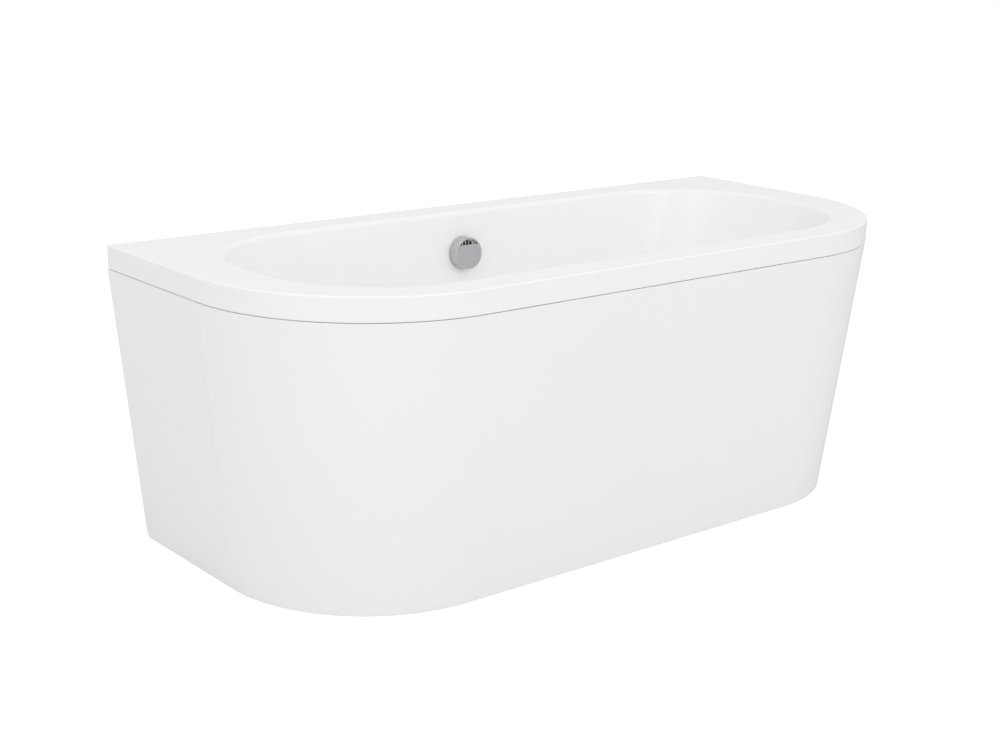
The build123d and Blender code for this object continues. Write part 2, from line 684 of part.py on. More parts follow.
def drilled_hat(hat):
    """A hat section in its place, with its holes for studs, wood screws and bracket bolts."""
    stud = rod(STUD_RADIUS + STUD_HOLE_CLEARANCE, HAT_UNDER - 1, HAT_UNDER + 2 * HAT_SHEET)
    screw = rod(WOOD_SCREW_RADIUS + SCREW_GAP, BOARD_UNDER - 2 * HAT_SHEET, BOARD_UNDER + 1)
    bolt = rod(BOLT_RADIUS + SCREW_GAP, HAT_UNDER - 1, HAT_UNDER + 2 * HAT_SHEET)
    for x, y in FOOT_SPOTS.values():
        hat -= Pos(x, y, 0) * stud
    for x, y in leg_screw_spots():
        hat -= Pos(x, y, 0) * screw
    for x in (-LEG_SPREAD / 2, LEG_SPREAD / 2):
        hat -= Pos(x, BRACKET_BOLT_Y, 0) * bolt
    return hat


def leg_channel(side):
    place = Pos(side * LEG_SPREAD / 2, 0, BOARD_UNDER) * Rot(0, 0, 90)
    return drilled_hat(place * hat_section(LEG_LENGTH))


def centre_leg_bracket():
    return drilled_hat(Pos(CENTRE_LEG_X, 0, BOARD_UNDER) * hat_section(CENTRE_LEG_LENGTH))


def leg_screws():
    screw = pan_screw(
        WOOD_SCREW_RADIUS,
        WOOD_SCREW_HEAD_RADIUS,
        WOOD_SCREW_HEAD_HEIGHT,
        HAT_SHEET + WOOD_SCREW_BITE,
    )
    under = BOARD_UNDER - HAT_SHEET
    return [Pos(x, y, under) * (UPSIDE_DOWN * screw) for x, y in leg_screw_spots()]


def stud_nuts(low):
    """One nut on each foot's stud, as separate solids."""
    nut = hex_nut(NUT_ACROSS_FLATS, STUD_RADIUS + RUNNING_CLEARANCE, low, low + NUT_HEIGHT)
    return [Pos(x, y, 0) * nut for x, y in FOOT_SPOTS.values()]


def foot_stud(spot):
    top = HAT_UNDER + HAT_SHEET + NUT_HEIGHT + STUD_REACH
    stud = rod(STUD_RADIUS, PAD_FLOOR, top)
    stud = chamfer(stud.edges().filter_by(GeomType.CIRCLE), STUD_RADIUS * 0.16)
    return Pos(*spot, 0) * stud


def foot_pad(spot):
    collar_top = PAD_HEIGHT + PAD_COLLAR_HEIGHT
    pad = turned([
        (0, 0), (PAD_RADIUS, 0), (PAD_RADIUS, PAD_EDGE), (PAD_COLLAR_RADIUS, PAD_HEIGHT),
        (PAD_COLLAR_RADIUS, collar_top), (0, collar_top),
    ])
    pad -= rod(STUD_RADIUS + RUNNING_CLEARANCE, PAD_FLOOR, collar_top + 1)
    return Pos(*spot, 0) * pad


# Wall brackets

BRACKET_STEP_Z = HEIGHT - RIM_DEPTH - WALL_BRACKET_STEP_GAP
BRACKET_FOOT_Z = BRACKET_STEP_Z - WALL_BRACKET_DROP
WALL_SCREW_Z = BRACKET_FOOT_Z + WALL_SCREW_EDGE


def wall_brackets():
    """Joggled steel strips from under the back batten to the wall, as separate solids."""
    wall = WIDTH / 2
    t = WALL_BRACKET_SHEET
    points = [
        (BATTEN_BACK - BATTEN_WIDTH, BATTEN_UNDER), (BATTEN_BACK, BATTEN_UNDER),
        (BATTEN_BACK, BRACKET_STEP_Z), (wall, BRACKET_STEP_Z), (wall, BRACKET_FOOT_Z),
        (wall - t, BRACKET_FOOT_Z), (wall - t, BRACKET_STEP_Z - t),
        (BATTEN_BACK - t, BRACKET_STEP_Z - t), (BATTEN_BACK - t, BATTEN_UNDER - t),
        (BATTEN_BACK - BATTEN_WIDTH, BATTEN_UNDER - t),
    ]
    strip = extrude(Plane.YZ * make_face(Polyline(*points, close=True)), WALL_BRACKET_WIDTH)
    up = rod(WOOD_SCREW_RADIUS + SCREW_GAP, BATTEN_UNDER - 2 * t, BATTEN_UNDER + 1)
    across = Rot(90, 0, 0) * rod(WALL_SCREW_HOLE_RADIUS, -2 * t, 2 * t)
    strips = []
    for x in (-WALL_BRACKET_SPREAD / 2, WALL_BRACKET_SPREAD / 2):
        piece = Pos(x - WALL_BRACKET_WIDTH / 2, 0, 0) * strip
        for side in (-WALL_SCREW_SPACING / 2, WALL_SCREW_SPACING / 2):
            piece -= Pos(x + side, BATTEN_MIDDLE_Y, 0) * up
            piece -= Pos(x + side, wall, WALL_SCREW_Z) * across
        strips.append(piece)
    return strips


def wall_bracket_screws():
    screw = pan_screw(
        WOOD_SCREW_RADIUS,
        WOOD_SCREW_HEAD_RADIUS,
        WOOD_SCREW_HEAD_HEIGHT,
        WALL_BRACKET_SHEET + WOOD_SCREW_BITE,
    )
    under = BATTEN_UNDER - WALL_BRACKET_SHEET
    return [Pos(x, BATTEN_MIDDLE_Y, under) * (UPSIDE_DOWN * screw) for x in wall_screw_spots()]


# Pop-up waste, on the Z axis

FLANGE_UNDER = SUMP_Z + FLANGE_SEAL_THICKNESS
FLANGE_TOP = FLANGE_UNDER + FLANGE_THICKNESS
FLANGE_SEAT = FLANGE_TOP - FLANGE_SEAT_DEPTH
SPIGOT_END = FLANGE_UNDER - SPIGOT_LENGTH
PLUG_UNDER = FLANGE_TOP + PLUG_CLEARANCE
BODY_TOP = SUMP_UNDER - WASTE_GASKET_THICKNESS
BODY_BOTTOM = BODY_TOP - BODY_HEIGHT
PIVOT_Z = BODY_TOP - LEVER_PIVOT_DROP
CHAMBER_Z = PIVOT_Z + CHAMBER_RISE
REST_TILT = PLUG_LIFT / LIFT_ARM / 2
STEM_END = PIVOT_Z - LIFT_ARM * math.sin(REST_TILT) + LEVER_NOSE_RADIUS + LEVER_LIFT_GAP
WIRE_Z = PIVOT_Z + PULL_ARM * math.cos(REST_TILT)
WIRE_PULL = 2 * REST_TILT * PULL_ARM
DRUM_PITCH_RADIUS = WIRE_PULL / math.radians(KNOB_TURN)


def waste_flange():
    """The dished flange and its spigot."""
    bore = SPIGOT_RADIUS - SPIGOT_WALL
    edge = FLANGE_THICKNESS / 3
    return turned([
        (bore, SPIGOT_END), (SPIGOT_RADIUS, SPIGOT_END), (SPIGOT_RADIUS, FLANGE_UNDER),
        (FLANGE_RADIUS, FLANGE_UNDER), (FLANGE_RADIUS, FLANGE_UNDER + edge),
        (FLANGE_DISH_RADIUS + 2 * FLANGE_SEAT_DEPTH, FLANGE_TOP),
        (FLANGE_DISH_RADIUS + FLANGE_SEAT_DEPTH, FLANGE_TOP),
        (FLANGE_DISH_RADIUS, FLANGE_SEAT), (bore, FLANGE_SEAT),
    ])


def stem_guide():
    """A three-armed guide for the plug's stem, pushed into the spigot's bore."""
    low = SPIGOT_END + SEAL_MARGIN
    high = low + SPIDER_HEIGHT
    arm = block((0, SPIGOT_RADIUS), (-SPIDER_ARM / 2, SPIDER_ARM / 2), (low, high))
    guide = rod(SPIDER_HUB_RADIUS, low, high)
    for turn in (90, 210, 330):
        guide += Rot(0, 0, turn) * arm
    guide &= rod(SPIGOT_RADIUS - SPIGOT_WALL - RUNNING_CLEARANCE, low, high)
    return guide - rod(STEM_RADIUS + RUNNING_CLEARANCE, low - 1, high + 1)


def flange_seal():
    return ring(FLANGE_RADIUS - SEAL_MARGIN, WASTE_HOLE_RADIUS, SUMP_Z, FLANGE_UNDER)


def waste_plug():
    """A crowned plug on a stem that stands on the lever's nose."""
    crown_z = PLUG_UNDER + PLUG_EDGE + PLUG_CROWN
    crown_radius = (PLUG_RADIUS**2 + PLUG_CROWN**2) / (2 * PLUG_CROWN)
    cap = rod(PLUG_RADIUS, PLUG_UNDER, crown_z + 1)
    cap &= Pos(0, 0, crown_z - crown_radius) * Sphere(crown_radius)
    return cap + rod(STEM_RADIUS, STEM_END, PLUG_UNDER + 1)


def plug_seal():
    outer = FLANGE_DISH_RADIUS - PLUG_SEAL_INSET
    return ring(outer, outer - PLUG_SEAL_WIDTH, FLANGE_SEAT + PLUG_SEAL_GAP, PLUG_UNDER)


def waste_gasket():
    inner = WASTE_HOLE_RADIUS + SEAL_MARGIN
    return ring(BODY_FLANGE_RADIUS - SEAL_MARGIN, inner, BODY_TOP, SUMP_UNDER)


def along_y(piece):
    """Turns a piece that lies on the Z axis so that it points along +Y."""
    return Rot(-90, 0, 0) * piece


def along_minus_x(piece):
    """Turns a piece that lies on the Z axis so that it points along -X."""
    return Rot(0, -90, 0) * piece


HOSE_STOP = BODY_RADIUS + HOSE_SHOULDER_LENGTH
CHAMBER_END = CHAMBER_REACH + BODY_WALL
GLAND_END = CHAMBER_END + GLAND_STOP + GLAND_DEPTH
HOSE_SPIGOT_RADIUS = HOSE_BORE - HOSE_SPIGOT_GAP
HOSE_SPIGOT_BORE = HOSE_SPIGOT_RADIUS - HOSE_SPIGOT_WALL


def waste_body():
    """The body under the bath: a collar, a lever chamber, a hose spigot and an outlet."""
    chamber = BODY_RADIUS - BODY_WALL
    body = rod(BODY_FLANGE_RADIUS, BODY_TOP - BODY_FLANGE_THICKNESS, BODY_TOP)
    body += rod(BODY_RADIUS, BODY_BOTTOM, BODY_TOP)
    body += rod(BODY_OUTLET_RADIUS, BODY_BOTTOM - BODY_OUTLET_LENGTH, BODY_BOTTOM + 1)
    body += Pos(0, 0, CHAMBER_Z) * along_y(rod(CHAMBER_RADIUS + BODY_WALL, 0, CHAMBER_END))
    body += Pos(0, 0, WIRE_Z) * along_y(rod(GLAND_RADIUS, CHAMBER_REACH, GLAND_END))
    body += Pos(0, 0, CHAMBER_Z) * along_minus_x(rod(HOSE_SHOULDER_RADIUS, 0, HOSE_STOP))
    spigot_end = HOSE_STOP + HOSE_SPIGOT_LENGTH
    body += Pos(0, 0, CHAMBER_Z) * along_minus_x(rod(HOSE_SPIGOT_RADIUS, 0, spigot_end))
    body -= rod(SPIGOT_RADIUS + THREAD_CLEARANCE, SPIGOT_END - 1, BODY_TOP + 1)
    body -= rod(chamber, BODY_BOTTOM + BODY_WALL, SPIGOT_END - 1)
    body -= rod(BODY_OUTLET_BORE, BODY_BOTTOM - BODY_OUTLET_LENGTH - 1, BODY_TOP - 1)
    body -= Pos(0, 0, CHAMBER_Z) * along_y(rod(CHAMBER_RADIUS, 0, CHAMBER_REACH))
    body -= Pos(0, 0, CHAMBER_Z) * along_minus_x(rod(HOSE_SPIGOT_BORE, 0, spigot_end + 1))
    body -= Pos(0, 0, WIRE_Z) * along_y(rod(WIRE_BORE, CHAMBER_REACH - 1, GLAND_END + 1))
    seat = rod(SHEATH_RADIUS + GLAND_CLEARANCE, GLAND_END - GLAND_DEPTH, GLAND_END + 1)
    body -= Pos(0, 0, WIRE_Z) * along_y(seat)
    pin = rod(LEVER_PIN_RADIUS + RUNNING_CLEARANCE, -2 * BODY_RADIUS, 2 * BODY_RADIUS)
    return body - Pos(0, LIFT_ARM, PIVOT_Z) * along_minus_x(pin)


def lift_lever():
    """A bell crank: its nose lies under the plug's stem and its upper arm takes the wire."""
    nose = Pos(0, -LIFT_ARM, 0) * along_minus_x(rod(LEVER_NOSE_RADIUS, 0, LEVER_SHEET))
    boss = along_minus_x(rod(LEVER_BOSS_RADIUS, 0, LEVER_SHEET))
    tip = Pos(0, 0, PULL_ARM) * along_minus_x(rod(LEVER_END_RADIUS, 0, LEVER_SHEET))
    half = LEVER_END_RADIUS
    lift_arm = block((-LEVER_SHEET, 0), (-LIFT_ARM, 0), (-half, half))
    pull_arm = block((-LEVER_SHEET, 0), (-half, half), (0, PULL_ARM))
    lever = nose + boss + tip + lift_arm + pull_arm
    bore = rod(LEVER_PIN_RADIUS + RUNNING_CLEARANCE, -1, LEVER_SHEET + 1)
    lever -= along_minus_x(bore)
    tilt = Rot(math.degrees(REST_TILT), 0, 0)
    return Pos(LEVER_SHEET / 2, LIFT_ARM, PIVOT_Z) * tilt * lever


def lever_pin():
    half = CHAMBER_RADIUS + BODY_WALL - SEAL_MARGIN
    return Pos(0, LIFT_ARM, PIVOT_Z) * along_minus_x(rod(LEVER_PIN_RADIUS, -half, half))


# Overflow, in its own frame with Z into the bowl

OUTLET_DEPTH = OVERFLOW_CHAMBER_DEPTH / 2 + SHEET + OVERFLOW_OUTLET_SETBACK
GASKET_BACK = -SHEET - OVERFLOW_GASKET_THICKNESS
CHAMBER_BACK = GASKET_BACK - OVERFLOW_CHAMBER_DEPTH
BAY_FRONT = CHAMBER_BACK - OVERFLOW_WALL
BAY_BACK = BAY_FRONT - DRUM_BAY_DEPTH
WIRE_DEPTH = (BAY_FRONT + BAY_BACK) / 2
OVERFLOW_CHAMBER_OUTSIDE = OVERFLOW_CHAMBER_RADIUS + OVERFLOW_WALL
OVERFLOW_HOSE_STOP = OVERFLOW_CHAMBER_OUTSIDE + HOSE_SHOULDER_LENGTH
BAY_OUTSIDE = DRUM_BAY_RADIUS + OVERFLOW_WALL
SHEATH_TOP = BAY_OUTSIDE + GLAND_STOP
FACE_UP = Rot(90, 0, 0)


def overflow_gasket():
    inner = OVERFLOW_HOLE_RADIUS + SEAL_MARGIN
    return OVERFLOW * ring(OVERFLOW_FLANGE_RADIUS - SEAL_MARGIN, inner, GASKET_BACK, -SHEET)


def overflow_body():
    """A flanged cup behind the wall, with a bay for the drum and a spigot for the hose."""
    flange_back = GASKET_BACK - OVERFLOW_FLANGE_THICKNESS
    body = rod(OVERFLOW_FLANGE_RADIUS, flange_back, GASKET_BACK)
    body += rod(OVERFLOW_CHAMBER_OUTSIDE, BAY_FRONT, GASKET_BACK)
    body += rod(BAY_OUTSIDE, BAY_BACK, BAY_FRONT + 1)
    outlet = Pos(0, 0, -OUTLET_DEPTH) * FACE_UP
    spigot_end = OVERFLOW_HOSE_STOP + HOSE_SPIGOT_LENGTH
    body += outlet * rod(HOSE_SHOULDER_RADIUS, 0, OVERFLOW_HOSE_STOP)
    body += outlet * rod(HOSE_SPIGOT_RADIUS, 0, spigot_end)
    port = Pos(DRUM_PITCH_RADIUS, 0, WIRE_DEPTH) * FACE_UP
    body += port * rod(GLAND_RADIUS, DRUM_BAY_RADIUS / 2, SHEATH_TOP + GLAND_DEPTH)
    body -= rod(OVERFLOW_CHAMBER_RADIUS, CHAMBER_BACK, 0)
    body -= rod(DRUM_BAY_RADIUS, BAY_BACK - 1, BAY_FRONT)
    body -= outlet * rod(HOSE_SPIGOT_BORE, 0, spigot_end + 1)
    post = rod(OVERFLOW_POST_RADIUS, BAY_FRONT, -SCREW_GAP)
    for x in (-OVERFLOW_SCREW_CIRCLE, OVERFLOW_SCREW_CIRCLE):
        body += Pos(x, 0, 0) * post
        hole = rod(OVERFLOW_SCREW_RADIUS + SCREW_GAP, -OVERFLOW_SCREW_LENGTH - 1, 1)
        body -= Pos(x, 0, 0) * hole
    body += rod(SPINDLE_RADIUS + OVERFLOW_WALL, BAY_FRONT, CHAMBER_BACK + BEARING_LENGTH)
    body -= rod(SPINDLE_RADIUS + RUNNING_CLEARANCE, BAY_FRONT - 1, GASKET_BACK)
    body -= port * rod(WIRE_BORE, 0, SHEATH_TOP + GLAND_DEPTH + 1)
    body -= port * rod(SHEATH_RADIUS + GLAND_CLEARANCE, SHEATH_TOP, SHEATH_TOP + GLAND_DEPTH + 1)
    return OVERFLOW * body


def drum_cover():
    """The lid of the drum's bay, with a lip that centres it."""
    lid = rod(BAY_OUTSIDE, BAY_BACK - DRUM_COVER_THICKNESS, BAY_BACK)
    lip_outer = DRUM_BAY_RADIUS - SCREW_GAP
    lid += ring(lip_outer, lip_outer - DRUM_COVER_LIP, BAY_BACK - 1, BAY_BACK + DRUM_COVER_LIP)
    return OVERFLOW * lid


def overflow_faceplate():
    """A spoked plate on the bowl's side that the screws pull against the wall."""
    plate = rod(FACEPLATE_RADIUS, 0, FACEPLATE_THICKNESS)
    open_radius = OVERFLOW_HOLE_RADIUS - FACEPLATE_RING_CLEARANCE
    open_ring = ring(open_radius, FACEPLATE_HUB_RADIUS, -1, FACEPLATE_THICKNESS + 1)
    reach = FACEPLATE_RADIUS
    thick = (-2, FACEPLATE_THICKNESS + 2)
    screw_spoke = OVERFLOW_POST_RADIUS + 1
    open_ring -= block((-reach, reach), (-screw_spoke, screw_spoke), thick)
    open_ring -= block((-FACEPLATE_SPOKE / 2, FACEPLATE_SPOKE / 2), (-reach, reach), thick)
    plate -= open_ring
    plate += rod(SPINDLE_RADIUS + OVERFLOW_WALL, -BEARING_LENGTH, FACEPLATE_THICKNESS)
    plate -= rod(SPINDLE_RADIUS + RUNNING_CLEARANCE, -BEARING_LENGTH - 1, FACEPLATE_THICKNESS + 1)
    for x in (-OVERFLOW_SCREW_CIRCLE, OVERFLOW_SCREW_CIRCLE):
        hole = rod(OVERFLOW_SCREW_RADIUS + SCREW_GAP, -1, FACEPLATE_THICKNESS + 1)
        plate -= Pos(x, 0, 0) * hole
    return OVERFLOW * plate


def overflow_screws():
    screw = pan_screw(
        OVERFLOW_SCREW_RADIUS,
        OVERFLOW_SCREW_HEAD_RADIUS,
        OVERFLOW_SCREW_HEAD_HEIGHT,
        OVERFLOW_SCREW_LENGTH,
    )
    spots = (-OVERFLOW_SCREW_CIRCLE, OVERFLOW_SCREW_CIRCLE)
    return [OVERFLOW * (Pos(x, 0, FACEPLATE_THICKNESS) * screw) for x in spots]


KNOB_FACE = KNOB_WALL_GAP + KNOB_DEPTH
SPINDLE_FRONT = KNOB_FACE - KNOB_SHEET - KNOB_SOCKET_COVER


def knob_window():
    """The segment at the top of the knob's face, as a plan."""
    half = 2 * WINDOW_RADIUS
    above = Pos(0, WINDOW_CHORD + half / 2) * Rectangle(2 * half, half)
    return Circle(WINDOW_RADIUS) & above


def control_knob():
    """A hollow cap with a ribbed window at its top, on a hub."""
    inside = KNOB_FACE - KNOB_SHEET
    cap = turned([
        (0, inside), (KNOB_FACE_RADIUS - KNOB_SHEET, inside),
        (KNOB_BASE_RADIUS - KNOB_SHEET, KNOB_WALL_GAP), (KNOB_BASE_RADIUS, KNOB_WALL_GAP),
        (KNOB_FACE_RADIUS, KNOB_FACE), (0, KNOB_FACE),
    ])
    front = cap.edges().filter_by(GeomType.CIRCLE).filter_by_position(
        Axis.Z, KNOB_FACE - 0.01, KNOB_FACE + 0.01
    )
    cap = fillet(front, KNOB_EDGE_RADIUS)
    cap -= Pos(0, 0, inside - 1) * extrude(knob_window(), KNOB_SHEET + 2)
    ribs = int(WINDOW_RADIUS * 0.8 / WINDOW_RIB_SPACING)
    for step in range(-ribs, ribs + 1):
        x = step * WINDOW_RIB_SPACING
        reach = math.sqrt((WINDOW_RADIUS + 0.5) ** 2 - x**2)
        cap += block(
            (x - WINDOW_RIB_WIDTH / 2, x + WINDOW_RIB_WIDTH / 2),
            (WINDOW_CHORD - 1, reach),
            (inside, KNOB_FACE - WINDOW_RIB_RECESS),
        )
    cap += rod(KNOB_HUB_RADIUS, FACEPLATE_THICKNESS + OVERFLOW_SCREW_HEAD_HEIGHT, inside + 1)
    cap -= rod(SPINDLE_RADIUS + RUNNING_CLEARANCE, 0, SPINDLE_FRONT)
    return OVERFLOW * cap


DRUM_FRONT = WIRE_DEPTH + DRUM_LENGTH / 2
DRUM_BACK = WIRE_DEPTH - DRUM_LENGTH / 2


def control_spindle():
    step = BAY_FRONT - SPINDLE_STEP_GAP
    spindle = rod(SPINDLE_RADIUS, step, SPINDLE_FRONT)
    return OVERFLOW * (spindle + rod(SPINDLE_TAIL_RADIUS, DRUM_BACK - SPINDLE_STEP_GAP, step + 1))


def cable_drum():
    core = DRUM_PITCH_RADIUS - WIRE_RADIUS - WIRE_GAP
    drum = rod(core, DRUM_BACK, DRUM_FRONT)
    drum += rod(DRUM_FLANGE_RADIUS, DRUM_BACK, DRUM_BACK + DRUM_FLANGE_THICKNESS)
    drum += rod(DRUM_FLANGE_RADIUS, DRUM_FRONT - DRUM_FLANGE_THICKNESS, DRUM_FRONT)
    return OVERFLOW * (drum - rod(SPINDLE_TAIL_RADIUS + RUNNING_CLEARANCE, DRUM_BACK - 1, 0))


# Cable and hose, behind and under the bowl

BOWL_BACK_Y = wall_reach(BLEND_CENTRE_Z, FLOOR_HALF_WIDTH, SIDE_SLOPE, BACKING_OUTSIDE)
HOSE_BACK_Y = BOWL_BACK_Y + HOSE_CLEARANCE + HOSE_RADIUS


def in_overflow(x, y, z):
    """A point given in the overflow's frame, in the bath's frame."""
    return (OVERFLOW * Pos(x, y, z)).position


def smooth_path(points):
    """Straight runs joined by tangent arcs, each as large as its two runs allow."""
    corners = [Vector(*p) for p in points]
    radii = []
    for before, corner, after in zip(corners, corners[1:], corners[2:]):
        turn = math.radians((corner - before).get_angle(after - corner))
        run = min((corner - before).length, (after - corner).length)
        radii.append(PATH_FULLNESS * run / math.tan(turn / 2))
    return FilletPolyline(*corners, radius=radii)


def tube(path, outer, inner=0.0):
    """A round tube or rod swept along a path."""
    start = Plane(origin=path @ 0, z_dir=path % 0)
    solid = sweep(start * Circle(outer), path=path)
    if inner:
        solid -= sweep(start * Circle(inner), path=path)
    return solid


def cable_path():
    """The sheath's route, from the drum's bay down behind the bowl to the waste."""
    climb = BLEND_CENTRE_Z - WIRE_Z
    corners = [
        in_overflow(DRUM_PITCH_RADIUS, -SHEATH_TOP, WIRE_DEPTH),
        in_overflow(DRUM_PITCH_RADIUS, -SHEATH_TOP - CABLE_DROP, WIRE_DEPTH),
        (-CABLE_SWAY, 1.14 * HOSE_BACK_Y, WIRE_Z + 1.08 * climb),
        (CABLE_SWAY / 2, 0.98 * HOSE_BACK_Y, WIRE_Z + 0.28 * climb),
        (0, 0.62 * HOSE_BACK_Y, WIRE_Z),
        (0, GLAND_END - GLAND_DEPTH, WIRE_Z),
    ]
    return smooth_path(corners)


def cable_sheath():
    return tube(cable_path(), SHEATH_RADIUS, SHEATH_BORE)


def cable_wire():
    """The wire in the sheath, from the drum's tangent to the lever's upper end."""
    path = cable_path()
    drum = in_overflow(DRUM_PITCH_RADIUS, 0, WIRE_DEPTH)
    lever_y = LIFT_ARM - PULL_ARM * math.sin(REST_TILT) + LEVER_END_RADIUS + LEVER_LIFT_GAP
    runs = [Line(drum, path @ 0), *path.edges(), Line(path @ 1, (0, lever_y, WIRE_Z))]
    return tube(Wire(runs), WIRE_RADIUS)


def hose_path():
    """The hose's route, from the waste's branch round and up to the overflow's outlet."""
    climb = BLEND_CENTRE_Z - CHAMBER_Z
    corners = [
        (-HOSE_STOP - HOSE_END_GAP, 0, CHAMBER_Z),
        (-0.82 * HOSE_SWING, 0, CHAMBER_Z),
        (-HOSE_SWING, 0.33 * HOSE_BACK_Y, CHAMBER_Z),
        (-0.93 * HOSE_SWING, 0.66 * HOSE_BACK_Y, CHAMBER_Z + 0.04 * climb),
        (-0.67 * HOSE_SWING, 0.92 * HOSE_BACK_Y, CHAMBER_Z + 0.32 * climb),
        (-0.33 * HOSE_SWING, 1.03 * HOSE_BACK_Y, CHAMBER_Z + 0.96 * climb),
        in_overflow(0, -OVERFLOW_HOSE_STOP - HOSE_DROP, -OUTLET_DEPTH),
        in_overflow(0, -OVERFLOW_HOSE_STOP - HOSE_END_GAP, -OUTLET_DEPTH),
    ]
    return smooth_path(corners)


def hose_circle(path, distance, radius):
    """A circle across the hose at a distance along it, on a steady X axis."""
    share = distance / path.length
    along = path % share
    side = Vector(-1, -1, 1).normalized()
    across = side - along * side.dot(along)
    return Plane(origin=path @ share, x_dir=across, z_dir=along) * Circle(radius)


def overflow_hose():
    """A ribbed hose with plain ends and a smooth bore."""
    path = hose_path()
    pitch = (path.length - 2 * HOSE_PLAIN_END) / HOSE_RIBS
    valley = HOSE_RADIUS - HOSE_RIB_DEPTH
    down = HOSE_RIB_FLANK
    circles = [hose_circle(path, 0, HOSE_RADIUS)]
    for rib in range(HOSE_RIBS):
        start = HOSE_PLAIN_END + rib * pitch
        circles.append(hose_circle(path, start, HOSE_RADIUS))
        circles.append(hose_circle(path, start + down * pitch, valley))
        circles.append(hose_circle(path, start + (down + HOSE_RIB_VALLEY) * pitch, valley))
        circles.append(hose_circle(path, start + (2 * down + HOSE_RIB_VALLEY) * pitch, HOSE_RADIUS))
    circles.append(hose_circle(path, path.length - HOSE_PLAIN_END, HOSE_RADIUS))
    circles.append(hose_circle(path, path.length, HOSE_RADIUS))
    return loft(circles, ruled=True) - tube(path, HOSE_BORE)


def hose_nut():
    low = HOSE_END_GAP
    return grip_nut(HOSE_NUT_RADIUS, HOSE_RADIUS + THREAD_CLEARANCE, low, low + HOSE_NUT_LENGTH)


def hose_nut_bottom():
    return Pos(-HOSE_STOP, 0, CHAMBER_Z) * along_minus_x(hose_nut())


def hose_nut_top():
    place = OVERFLOW * Pos(0, -OVERFLOW_HOSE_STOP, -OUTLET_DEPTH)
    return place * (FACE_UP * hose_nut())


# Trap, under the waste and then along +Y

TRAP_JOINT_Z = BODY_BOTTOM - BODY_OUTLET_LENGTH
TRAP_RIM_TOP = TRAP_JOINT_Z - TRAP_SEAL_THICKNESS
TRAP_RIM_UNDER = TRAP_RIM_TOP - TRAP_RIM_THICKNESS
TRAP_BEND_Z = TRAP_FLOOR_GAP + TRAP_RADIUS + TRAP_BEND_RADIUS
TRAP_OUTLET_Z = TRAP_BEND_Z + TRAP_RISE + TRAP_ELBOW_RADIUS
TRAP_SOCKET_Y = 2 * TRAP_BEND_RADIUS + TRAP_ELBOW_RADIUS + TRAP_OUTLET_RUN
SOCKET_STOP_Y = TRAP_SOCKET_Y + TRAP_SOCKET_STOP
SOCKET_END_Y = SOCKET_STOP_Y + PIPE_SOCKET_DEPTH
SOCKET_RADIUS = PIPE_SOCKET_RADIUS + PIPE_SOCKET_WALL


def trap_path(top):
    """Down from top, round the bend, up, round the elbow and along to the socket's stop."""
    bend = TRAP_BEND_RADIUS
    elbow = TRAP_ELBOW_RADIUS
    rise = TRAP_BEND_Z + TRAP_RISE
    runs = [
        Line((0, top), (0, TRAP_BEND_Z)),
        CenterArc((bend, TRAP_BEND_Z), bend, 180, 180),
        Line((2 * bend, TRAP_BEND_Z), (2 * bend, rise)),
        CenterArc((2 * bend + elbow, rise), elbow, 180, -90),
        Line((2 * bend + elbow, rise + elbow), (SOCKET_STOP_Y, rise + elbow)),
    ]
    return Plane.YZ * (Curve() + runs)


def trap_body():
    path = Wire(trap_path(TRAP_RIM_TOP).edges())
    start = Plane(origin=(0, 0, TRAP_RIM_TOP), z_dir=(0, 0, -1))
    body = sweep(start * Circle(TRAP_RADIUS), path=path)
    body += rod(TRAP_RIM_RADIUS, TRAP_RIM_UNDER, TRAP_RIM_TOP)
    socket = rod(SOCKET_RADIUS, TRAP_SOCKET_Y, SOCKET_END_Y)
    body += Pos(0, 0, TRAP_OUTLET_Z) * along_y(socket)
    body -= sweep(start * Circle(TRAP_BORE), path=path)
    pipe = rod(PIPE_SOCKET_RADIUS, SOCKET_STOP_Y, SOCKET_END_Y + 1)
    return body - Pos(0, 0, TRAP_OUTLET_Z) * along_y(pipe)


def trap_inlet_seal():
    return ring(TRAP_RIM_RADIUS - TRAP_NUT_GAP, TRAP_BORE, TRAP_RIM_TOP, TRAP_JOINT_Z)


def trap_inlet_nut():
    low = TRAP_RIM_UNDER - TRAP_NUT_SHOULDER
    nut = grip_nut(TRAP_NUT_RADIUS, TRAP_RADIUS + TRAP_NUT_GAP, low, low + TRAP_NUT_HEIGHT)
    return nut - rod(BODY_OUTLET_RADIUS + TRAP_NUT_GAP, TRAP_RIM_UNDER, low + TRAP_NUT_HEIGHT + 1)


def trap_outlet_seal():
    seal = ring(SOCKET_RADIUS - TRAP_NUT_GAP, PIPE_SOCKET_RADIUS, 0, OUTLET_SEAL_THICKNESS)
    return Pos(0, SOCKET_END_Y, TRAP_OUTLET_Z) * along_y(seal)


def trap_outlet_nut():
    high = OUTLET_SEAL_THICKNESS + TRAP_NUT_SHOULDER
    nut = grip_nut(OUTLET_NUT_RADIUS, PIPE_SOCKET_RADIUS, high - OUTLET_NUT_LENGTH, high)
    nut -= rod(SOCKET_RADIUS + TRAP_NUT_GAP, high - OUTLET_NUT_LENGTH - 1, OUTLET_SEAL_THICKNESS)
    return Pos(0, SOCKET_END_Y, TRAP_OUTLET_Z) * along_y(nut)


# Every node by name

